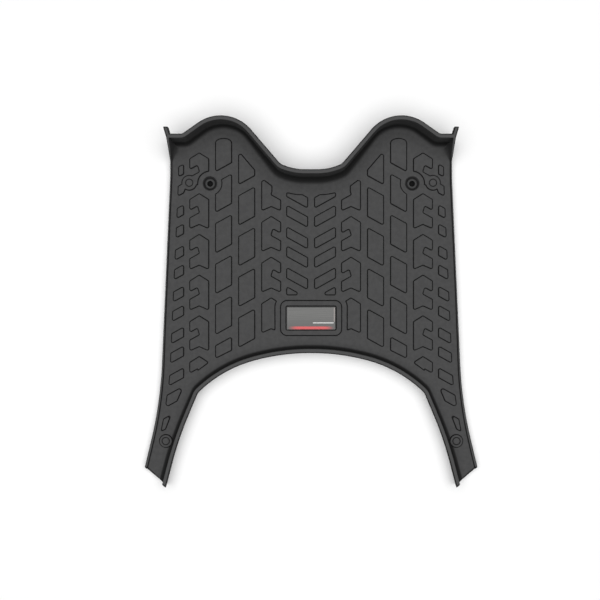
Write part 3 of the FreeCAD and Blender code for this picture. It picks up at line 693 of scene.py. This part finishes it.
top_loops = []
for loop in tread_loops:
    meets_lip = np.abs(np.abs(loop.mean(axis=0)) - np.abs(LEG_MARK)).max() < LEG_MARK_REACH
    on_leg = loop[:, 1].mean() < LEG_ROOT_Y
    sink = SINK * smooth(-block_inset / SIDE_RUN * 2) if meets_lip else 0.0
    growth = LEG_GROWTH if on_leg and not meets_lip else 0.0
    levels = FLOOR + TREAD_HEIGHT * block_rise - sink
    block = stacked_rings(loop, block_inset - growth, levels, CORNER_ROUND)
    mat.add(block, grid_faces(*block.shape[:2], closed=True), np.tile(block_shade, len(block)))
    top_loops.append(block[:, -1, :2])
    if meets_lip:
        mat.add(block[:, 0], np.arange(len(block))[None, ::-1])
    else:
        floor_loops.append(block[:, 0, :2])
print("tread:", mat.count, "points so far")

# %% [markdown]
# ## Marks, screw seats and badge frame
#
# A ring groove is sunk into each round mark. A screw seat is a cone with a bore through the floor, and the
# badge frame is a raised border whose middle is sunk for the plate. Spin and Inset could make them by hand.
# They are round or nearly round, so their sections are carried round circles and rounded rectangles, and
# every ring lands where the flats will meet it.

# %% Circles and rounded rectangles
CIRCLE = np.linspace(0, 2 * np.pi, 64, endpoint=False)
SPOKES = np.stack([np.cos(CIRCLE), np.sin(CIRCLE)], axis=1)


def revolve(centre, section):
    """A section of (radius, height) pairs turned round an upright axis."""
    plan = centre + SPOKES[:, None] * section[None, :, :1]
    level = np.broadcast_to(section[:, 1], plan.shape[:2])
    return np.concatenate([plan, level[..., None]], axis=2)


def rounded_rectangle(centre, half_size, radius):
    """Points round a rectangle: a circle of the corner radius, pushed out to the four corners' centres."""
    shifted = CIRCLE + np.pi / len(CIRCLE)
    quadrant = np.stack([np.sign(np.cos(shifted)), np.sign(np.sin(shifted))], axis=1)
    return centre + quadrant * (np.asarray(half_size) - radius) + SPOKES * radius


def level_ring(plan, level):
    """A loop of plan points at one height."""
    return np.column_stack([plan, np.full(len(plan), level)])


# %% Sink the ring grooves
RING_DEPTH, RING_FLARE, RING_ROUNDNESS = 0.7, 1.3, 1.5
top = FLOOR + TREAD_HEIGHT
ring_angle = np.linspace(-np.pi / 2, np.pi / 2, 9)
ring_section = np.vstack([
    (RING_RADIUS + RING_WIDTH, top),
    np.column_stack([RING_RADIUS - RING_WIDTH / 2 * np.sin(ring_angle) * RING_FLARE,
                     top - RING_DEPTH * np.cos(ring_angle) ** RING_ROUNDNESS]),
    (RING_RADIUS - RING_WIDTH, top),
])
# Painted shade darkens the groove, most at its bottom.
ring_shade = np.concatenate([[0], np.cos(ring_angle) ** 2, [0]])
for mark in marks:
    ring = revolve(mark, ring_section)
    mat.add(ring, grid_faces(*ring.shape[:2], closed=True), np.tile(ring_shade, len(ring)))
    top_loops += [ring[:, 0, :2], ring[:, -1, :2]]
print("ring grooves:", len(marks))

# %% Sink the screw seats
SCREW = np.array([111.9, FRONT_Y - 69.2])
SEAT_SECTION = np.array([
    (9.0, FLOOR), (8.4, FLOOR), (8.0, FLOOR - 0.12), (7.7, FLOOR - 0.4), (6.0, 2.7), (5.7, 2.5), (5.3, 2.4),
    (3.7, 2.4), (3.35, 2.3), (3.1, 2.05), (3.0, 1.7), (3.0, 0.3), (3.0, 0.0),
])
# Painted shade darkens the seat's cone wall and its bore.
SEAT_SHADE = np.array([0, 0, 0.3, 0.6, 1, 1, 0.6, 0, 0.4, 1, 1, 1, 1])
for half in HALVES:
    seat = revolve(SCREW * half, SEAT_SECTION)
    mat.add(seat, grid_faces(*seat.shape[:2], closed=True), np.tile(SEAT_SHADE, len(seat)))
    floor_loops.append(seat[:, 0, :2])
    underside_loops.append(seat[:, -1, :2])
print("screw seats at", np.round(SCREW, 1), "and mirrored")

# %% Rings of the badge frame, as half size, radius, height and shade
BADGE = np.array([0, ARCH_Y + 38.2])
FRAME_HALF, FRAME_RADIUS, FRAME_HEIGHT = np.array([33.8, 19.35]), 7.4, 1.8
RECESS_HALF, RECESS_RADIUS, RECESS_DEPTH = np.array([27.9, 13.45]), 1.8, 1.4
RECESS_ROUND, RECESS_EASE = 0.8, 0.1

frame_top = FLOOR + FRAME_HEIGHT
recess_floor = frame_top - RECESS_DEPTH
# Each ring carries painted shade: a dark line on the frame's side, and shade over the recess's round, wall
# and floor.
frame_rings = [(FRAME_HALF - inset, FRAME_RADIUS - inset, FLOOR + FRAME_HEIGHT * rise, shade)
               for inset, rise, shade in zip(block_inset, block_rise, block_shade)]
for angle in np.linspace(0, np.pi / 2, 5):
    out = RECESS_ROUND * (1 - np.sin(angle))
    level = frame_top - RECESS_ROUND * (1 - np.cos(angle))
    frame_rings.append((RECESS_HALF + out, RECESS_RADIUS + out, level, np.sin(angle)))
frame_rings.append((RECESS_HALF, RECESS_RADIUS, recess_floor + RECESS_EASE, 1.0))
frame_rings.append((RECESS_HALF - RECESS_EASE, RECESS_RADIUS - RECESS_EASE, recess_floor, 1.0))

# %% Raise the badge frame
badge_frame = np.stack([level_ring(rounded_rectangle(BADGE, half_size, radius), level)
                        for half_size, radius, level, shade in frame_rings], axis=1)
frame_shade = [shade for half_size, radius, level, shade in frame_rings]
mat.add(badge_frame, grid_faces(*badge_frame.shape[:2], closed=True), np.tile(frame_shade, len(badge_frame)))
floor_loops.append(badge_frame[:, 0, :2])
mat.add_flat([badge_frame[:, -1, :2]], recess_floor)
print("badge frame:", len(frame_rings), "rings")

# %% [markdown]
# ## Flats and ears
#
# Floor, block tops and underside are plain flats with many holes. An n-gon can have no hole, so a
# triangulation covers what lies between the loops gathered so far. An ear is the short stub that sticks out
# past each end of the front wall. It is a stack of rings as the blocks are, with a rounded rim, and it
# stands in the wall's end, where rubber runs into rubber.

# %% Close the flats
mat.add_flat(floor_loops, FLOOR)
mat.add_flat(top_loops, FLOOR + TREAD_HEIGHT)
mat.add_flat(underside_loops, 0.0)
print("flats:", mat.count, "points so far")

# %% Add the ears and build the mat
EAR_LENGTH, EAR_THICKNESS, EAR_SPLAY, EAR_HEIGHT = 7.6, 5.0, np.radians(16.5), 8.0
EAR_ROUND, EAR_CORNER, EAR_SETBACK = 1.7, 0.8, 0.05

ear_root_y = SHOULDER_Y - FRONT_THICKNESS
ear_tip_y = SHOULDER_Y + EAR_LENGTH
ear_tip_x = WAIST_X + (EAR_LENGTH + FRONT_THICKNESS) * np.tan(EAR_SPLAY)
ear_width = EAR_THICKNESS / np.cos(EAR_SPLAY)
ear_corners = np.array([
    (WAIST_X - ear_width, ear_root_y),
    (WAIST_X - EAR_SETBACK, ear_root_y),
    (ear_tip_x, ear_tip_y),
    (ear_tip_x - ear_width, ear_tip_y),
])
ear_top = FRONT_HEIGHT - EAR_SETBACK
ear_bottom = FRONT_HEIGHT - EAR_HEIGHT
ear_inset = np.concatenate([[BOTTOM_EASE, 0, 0], EAR_ROUND * (1 - np.cos(QUARTER)), [EAR_ROUND + HOLD]])
ear_level = np.concatenate([[ear_bottom, ear_bottom + BOTTOM_EASE, ear_top - EAR_ROUND - HOLD],
                            ear_top - EAR_ROUND * (1 - np.sin(QUARTER)), [ear_top]])
# The ear's outer round is painted dark with shade, and its top is coloured paler.
ear_shade = np.concatenate([np.zeros(3), rim_shade(QUARTER, DEEP), [PALE_RIM]])
ear = stacked_rings(ear_corners, ear_inset, ear_level, EAR_CORNER)
mat.add_pair(ear, grid_faces(*ear.shape[:2], closed=True), np.tile(ear_shade, len(ear)))
mat.add_pair(ear[:, -1], np.arange(len(ear))[None], PALE_RIM)
mat.add_pair(ear[:, 0], np.arange(len(ear))[None, ::-1])
floor_mat = mat.build("floor_mat")

# %% [markdown]
# ## The badge plate
#
# The plate is a thin printed label, bonded into its frame with a hair of a gap all round. A cube with a
# Bevel modifier would come close. Rings that shrink from the edge towards the middle give the small round
# of a stamped edge and a top that stays flat right up to it.

# %% Stamp the plate
PLATE_GAP = 0.25
PLATE_RADIUS, PLATE_ROUND, PLATE_EASE = 1.65, 0.35, 0.15
PLATE_LEAST_RADIUS = 0.3
FLAT_INSETS = (0.6, 1.2)

plate_low, plate_high = (np.array(corner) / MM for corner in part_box("badge_plate"))
plate_half = (plate_high - plate_low)[:2] / 2 - PLATE_GAP
plate_centre = ((plate_high + plate_low) / 2)[:2]
plate_rings = [(PLATE_EASE, plate_low[2]), (0.0, plate_low[2] + PLATE_EASE)]
plate_rings += [(PLATE_ROUND * (1 - np.cos(angle)), plate_high[2] - PLATE_ROUND * (1 - np.sin(angle)))
                for angle in np.linspace(0, np.pi / 2, 6)]
plate_rings += [(inset, plate_high[2]) for inset in FLAT_INSETS]
plate_grid = np.stack([
    level_ring(rounded_rectangle(plate_centre, plate_half - inset,
                                 max(PLATE_RADIUS - inset, PLATE_LEAST_RADIUS)), level)
    for inset, level in plate_rings], axis=1)
plate = Moulding()
plate.add(plate_grid, grid_faces(*plate_grid.shape[:2], closed=True))
plate.add_flat([plate_grid[:, -1, :2]], plate_high[2])
plate.add_flat([plate_grid[:, 0, :2]], plate_low[2])
badge = plate.build("badge_label")

# %% [markdown]
# ## Shader maths
#
# Masks and noise are easier to read as sums and products than as boxes and wires. One small class wraps a
# socket: arithmetic on it adds a Math node, and any other node comes from one function.

# %% Sockets that do arithmetic
class Wire:
    """A value inside a material's node tree. Arithmetic on it adds Math nodes."""

    def __init__(self, tree, socket):
        self.tree, self.socket = tree, socket

    def math(self, operation, *values):
        """A Math node of one operation on this value and others."""
        return node(self.tree, "ShaderNodeMath", {"operation": operation}, dict(enumerate((self, *values))))

    def __add__(self, other):
        return self.math("ADD", other)

    def __mul__(self, other):
        return self.math("MULTIPLY", other)

    def __rsub__(self, other):
        return self.math("MULTIPLY", -1.0).math("ADD", other)

    __radd__ = __add__
    __rmul__ = __mul__

    def step(self, low, high):
        """0 below low, 1 above high and a soft rise between."""
        return node(self.tree, "ShaderNodeMapRange", {"interpolation_type": "SMOOTHSTEP"},
                    {"Value": self, "From Min": low, "From Max": high})


def node(tree, kind, settings, inputs, output=0):
    """Add a node: its settings first, then the values or links of its sockets. Returns one output."""
    made = tree.nodes.new(kind)
    for name, value in settings.items():
        setattr(made, name, value)
    for name, value in inputs.items():
        if isinstance(value, Wire):
            tree.links.new(value.socket, made.inputs[name])
        else:
            made.inputs[name].default_value = value
    return Wire(tree, made.outputs[output])


# %% Materials, colours and places
BLACK, WHITE = (0, 0, 0, 1), (1, 1, 1, 1)


def grey(level):
    """A colour with the same amount of red, green and blue."""
    return (level, level, level, 1)


def new_material(name):
    """A fresh material, its node tree and its main shader."""
    material = bpy.data.materials.new(name)
    material.use_nodes = True
    return material, material.node_tree, material.node_tree.nodes["Principled BSDF"]


def connect(value, shader, socket):
    """Link a value to a socket of a shader."""
    value.tree.links.new(value.socket, shader.inputs[socket])


def mix_colour(tree, factor, first, second):
    """Blend two colours by a factor."""
    return node(tree, "ShaderNodeMix", {"data_type": "RGBA"}, {0: factor, 6: first, 7: second}, output=2)


def object_place(tree):
    """The place on the piece, in metres."""
    return node(tree, "ShaderNodeTexCoord", {}, {}, output="Object")


def vector_math(tree, operation, inputs, output="Vector"):
    """One operation on vectors."""
    return node(tree, "ShaderNodeVectorMath", {"operation": operation}, inputs, output)


def noise(tree, place, scale, detail):
    """Soft noise between 0 and 1."""
    return node(tree, "ShaderNodeTexNoise", {}, {"Vector": place, "Scale": scale, "Detail": detail}, "Fac")


# %% [markdown]
# ## Rubber
#
# The mat is moulded in one dark rubber. It is matt and slightly uneven from the mould's etched skin. Shade is
# painted into its colour in the creases, on inner faces and round the edges of rims. One flat grey would look
# like plastic card. Two noises make the skin, a coarse one for its tone and gloss and a fine one for its
# grain, and the shade that every point carries blends in the paler rim tops and the painted shade.

# %% Mix the rubber
# The first two colours are the rubber's own tones; the third colours rim tops paler, and the fourth is
# painted shade.
RUBBER = (0.050, 0.050, 0.0505, 1)
RUBBER_MOTTLED = (0.060, 0.060, 0.0605, 1)
RUBBER_PALE_RIM = (0.069, 0.069, 0.0695, 1)
RUBBER_DEEP = grey(0.004)
MOTTLE_SCALE, MOTTLE_DETAIL, GRAIN_SCALE, GRAIN_DETAIL = 220.0, 3.0, 1400.0, 2.0
GRAIN_STRENGTH, GRAIN_DEPTH = 0.25, 0.0002
SMOOTHEST, ROUGHER = 0.62, 0.12
NOISE_LOW, NOISE_HIGH = 0.3, 0.7

rubber, tree, shader = new_material("moulded_rubber")
place = object_place(tree)
mottle = noise(tree, place, MOTTLE_SCALE, MOTTLE_DETAIL)
grain = noise(tree, place, GRAIN_SCALE, GRAIN_DETAIL)
shade = node(tree, "ShaderNodeAttribute", {"attribute_name": "shade"}, {}, output="Fac")
skin = mix_colour(tree, mottle.step(NOISE_LOW, NOISE_HIGH), RUBBER, RUBBER_MOTTLED)
# Negative shade colours rim tops paler, and positive shade blends in painted shade.
rubbed = mix_colour(tree, (-1.0 * shade).math("MAXIMUM", 0.0), skin, RUBBER_PALE_RIM)
connect(mix_colour(tree, shade.math("MAXIMUM", 0.0), rubbed, RUBBER_DEEP), shader, "Base Color")
connect(SMOOTHEST + ROUGHER * mottle, shader, "Roughness")
bump = {"Strength": GRAIN_STRENGTH, "Distance": GRAIN_DEPTH, "Height": grain}
connect(node(tree, "ShaderNodeBump", {}, bump), shader, "Normal")
shader.inputs["Specular IOR Level"].default_value = 0.12
floor_mat.data.materials.append(rubber)
print("rubber:", len(tree.nodes), "nodes")

# %% [markdown]
# ## Print on the badge
#
# The plate is brushed grey with a red band along its lower edge that fades towards both ends, and a fine pale
# rule above the band. A painted highlight lies along the bevel on the right, and painted shade, widest along
# the upper edge, stands for the shadow in the gap round the plate. An image could carry the print, but masks
# stay sharp at any distance. Each mask is a soft step of the distance from the plate's middle, in
# millimetres. The print lies under a thin clear coat, which stops at the painted shade of the border.

# %% Colours of the print, with a painted highlight and painted shade
PLATE_GREY = (0.090, 0.090, 0.087, 1)
PLATE_BRUSHED = (0.116, 0.116, 0.112, 1)
PLATE_DARK = (0.070, 0.070, 0.068, 1)
BAND_RED = (0.60, 0.070, 0.075, 1)
BAND_DARK = (0.22, 0.010, 0.012, 1)
RULE_WHITE = (0.70, 0.70, 0.69, 1)
# The bevel colour is a painted highlight, and the black is painted shade along the plate's edges.
BEVEL_HIGHLIGHT = (0.27, 0.24, 0.23, 1)
EDGE_SHADE_BLACK = grey(0.004)

# %% Measure the plate from its middle
label, tree, shader = new_material("printed_label")
middle = (*(plate_centre * MM), 0)
from_middle = vector_math(tree, "SUBTRACT", {0: object_place(tree), 1: middle})
in_mm = vector_math(tree, "SCALE", {0: from_middle, "Scale": 1 / MM})
across, along = (node(tree, "ShaderNodeSeparateXYZ", {}, {"Vector": in_mm}, output=axis) for axis in "XY")
half_wide, half_long = plate_half


def between(value, low, high, soft):
    """1 between two values, with soft ends."""
    return value.step(low - soft, low + soft) * (1 - value.step(high - soft, high + soft))


# %% Masks of the print and of its painted highlight and shade, in millimetres from the middle
BAND_ENDS, BAND_TOP, BAND_FOOT = (14.0, 26.0), (-10.0, -8.8), (-12.9, -11.3)
RULE_START, RULE_MARGIN, RULE_LOW, RULE_HIGH = 2.0, 2.6, -5.8, -4.9
# Where the painted highlight lies on the right bevel.
BEVEL_OUT, BEVEL_IN, BEVEL_LOW, BEVEL_MARGIN = 1.3, 2.4, -4.0, 1.6
# Widths of the painted edge shade, widest along the upper edge.
SIDE_BORDER, LOWER_BORDER, UPPER_BORDER, BORDER_SOFT = 1.0, 0.5, 1.3, 0.2
RULE_END_SOFT, RULE_SOFT, BEVEL_SOFT, BEVEL_END_SOFT = 0.4, 0.25, 0.3, 0.6

band = (1 - across.math("ABSOLUTE").step(*BAND_ENDS)) * (1 - along.step(*BAND_TOP))
inside_across = between(across, SIDE_BORDER - half_wide, half_wide - SIDE_BORDER, BORDER_SOFT)
inside_along = between(along, LOWER_BORDER - half_long, half_long - UPPER_BORDER, BORDER_SOFT)
painted_edge_shade = 1 - inside_across * inside_along
rule_across = between(across, RULE_START, half_wide - RULE_MARGIN, RULE_END_SOFT)
rule = rule_across * between(along, RULE_LOW, RULE_HIGH, RULE_SOFT)
bevel_across = between(across, half_wide - BEVEL_IN, half_wide - BEVEL_OUT, BEVEL_SOFT)
bevel_highlight = bevel_across * between(along, BEVEL_LOW, half_long - BEVEL_MARGIN, BEVEL_END_SOFT)

# %% Print the badge
BRUSH_STRETCH, BRUSH_SCALE, BRUSH_DETAIL = (0.03, 3.0, 1.0), 1.0, 2.0
GROUND_RISE = (-13.0, 6.0)
COAT = 0.4

stretched = vector_math(tree, "MULTIPLY", {0: in_mm, 1: BRUSH_STRETCH})
brushing = noise(tree, stretched, BRUSH_SCALE, BRUSH_DETAIL)
brushed = mix_colour(tree, brushing.step(NOISE_LOW, NOISE_HIGH), PLATE_GREY, PLATE_BRUSHED)
printed = mix_colour(tree, along.step(*GROUND_RISE), PLATE_DARK, brushed)
red = mix_colour(tree, along.step(*BAND_FOOT), BAND_DARK, BAND_RED)
# After the band and the rule come a painted highlight and painted edge shade.
for mask, colour in ((band, red), (rule, RULE_WHITE), (bevel_highlight, BEVEL_HIGHLIGHT), (painted_edge_shade, EDGE_SHADE_BLACK)):
    printed = mix_colour(tree, mask, printed, colour)
connect(printed, shader, "Base Color")
connect(COAT * (1 - painted_edge_shade), shader, "Coat Weight")
shader.inputs["Roughness"].default_value = 0.45
shader.inputs["Specular IOR Level"].default_value = 0.2
shader.inputs["Coat Roughness"].default_value = 0.1
badge.data.materials.append(label)
print("badge print:", len(tree.nodes), "nodes")

# %% [markdown]
# ## Stage and light
#
# One broad soft light hangs overhead, which leaves upright walls much darker than the floor of the mat, and
# painted shade darkens their inner faces further. A very little even light comes from all round. The table is
# white. The camera sees it slightly brighter than the light makes it, so that it reads as plain white, and it
# still takes the mat's shadow. Far from the mat it melts into the white backdrop. More light could bleach the
# table too, but it would bleach the mat with it. A dark card under each screw hole is painted shade for
# the shade down in the hole.

# %% Set the table
TABLE_HALF, TABLE_DROP = 3.0, 0.0003
TABLE_WHITE = grey(0.95)
TABLE_LIFT, FAR_LIFT = 0.005, 0.995
MELT_FROM, MELT_TO = 0.5, 1.2


def shows_backdrop(tree):
    """1 for rays that show the stage itself: from the camera, off gloss or through glass."""
    seen, gloss, glass = (node(tree, "ShaderNodeLightPath", {}, {}, output=f"Is {kind} Ray")
                          for kind in ("Camera", "Glossy", "Transmission"))
    return seen.math("MAXIMUM", gloss).math("MAXIMUM", glass)


def stage_piece(name, points, faces, finish, colour, specular):
    """A flat matt piece of the stage, with the node tree and the shader of its finish."""
    mesh = bpy.data.meshes.new(name)
    mesh.from_pydata(points.tolist(), [], faces.tolist())
    piece = bpy.data.objects.new(name, mesh)
    bpy.context.scene.collection.objects.link(piece)
    material, tree, shader = new_material(finish)
    shader.inputs["Base Color"].default_value = colour
    shader.inputs["Roughness"].default_value = 0.9
    shader.inputs["Specular IOR Level"].default_value = specular
    mesh.materials.append(material)
    return piece, tree, shader


table_plan = np.array([(-1, -1), (1, -1), (1, 1), (-1, 1)]) * TABLE_HALF
table_points, table_face = level_ring(table_plan, -TABLE_DROP), np.arange(4)[None]
table, tree, shader = stage_piece("table", table_points, table_face, "white_table", TABLE_WHITE, 0.0)
distance = vector_math(tree, "LENGTH", {0: object_place(tree)}, output="Value")
lift = shows_backdrop(tree) * (TABLE_LIFT + FAR_LIFT * distance.step(MELT_FROM, MELT_TO))
connect(mix_colour(tree, lift, BLACK, WHITE), shader, "Emission Color")
shader.inputs["Emission Strength"].default_value = 1.0
print("table:", 2 * TABLE_HALF, "m wide")

# %% Lay dark cards under the screw holes, as painted shade
# The cards' near-black is painted shade inside the screw holes.
CARD_RADIUS = 4.2
HOLE_SHADE_BLACK = grey(0.004)
card_plan = np.concatenate([SCREW * half + CARD_RADIUS * SPOKES for half in HALVES]) * MM
card_points = level_ring(card_plan, -TABLE_DROP / 2)
card_faces = np.arange(len(card_plan)).reshape(2, -1)
cards = stage_piece("hole_shade_cards", card_points, card_faces, "painted_hole_shade", HOLE_SHADE_BLACK, 0.1)[0]
print("cards:", len(card_faces))

# %% Hang the light
LIGHT_HEIGHT, LIGHT_RADIUS, LIGHT_WATTS = 2.2, 2.2, 102.0
AMBIENT = grey(0.01)

overhead = bpy.data.lights.new("overhead_softbox", "AREA")
overhead.shape = "DISK"
overhead.size = 2 * LIGHT_RADIUS
overhead.energy = LIGHT_WATTS
softbox = bpy.data.objects.new("overhead_softbox", overhead)
softbox.location = (0, 0, LIGHT_HEIGHT)
bpy.context.scene.collection.objects.link(softbox)

world = bpy.data.worlds.new("studio")
bpy.context.scene.world = world
world.use_nodes = True
tree = world.node_tree
connect(mix_colour(tree, shows_backdrop(tree), AMBIENT, WHITE), tree.nodes["Background"], "Color")
bpy.context.scene.view_settings.view_transform = "Standard"
print("light:", LIGHT_WATTS, "W at", LIGHT_HEIGHT, "m")

# %% [markdown]
# ## Hand over
#
# The mat has no joint, so both pieces ride on its one body. Each stands in for a solid of the imported model,
# which is hidden. They could be left as loose objects, but then nothing would say which solid each of them
# replaces.

# %% Hand over the pieces
for piece, node_name, slot in ((floor_mat, "mat", "rubber"), (badge, "badge_plate", "badge")):
    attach(piece, "root")
    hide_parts(node_name)
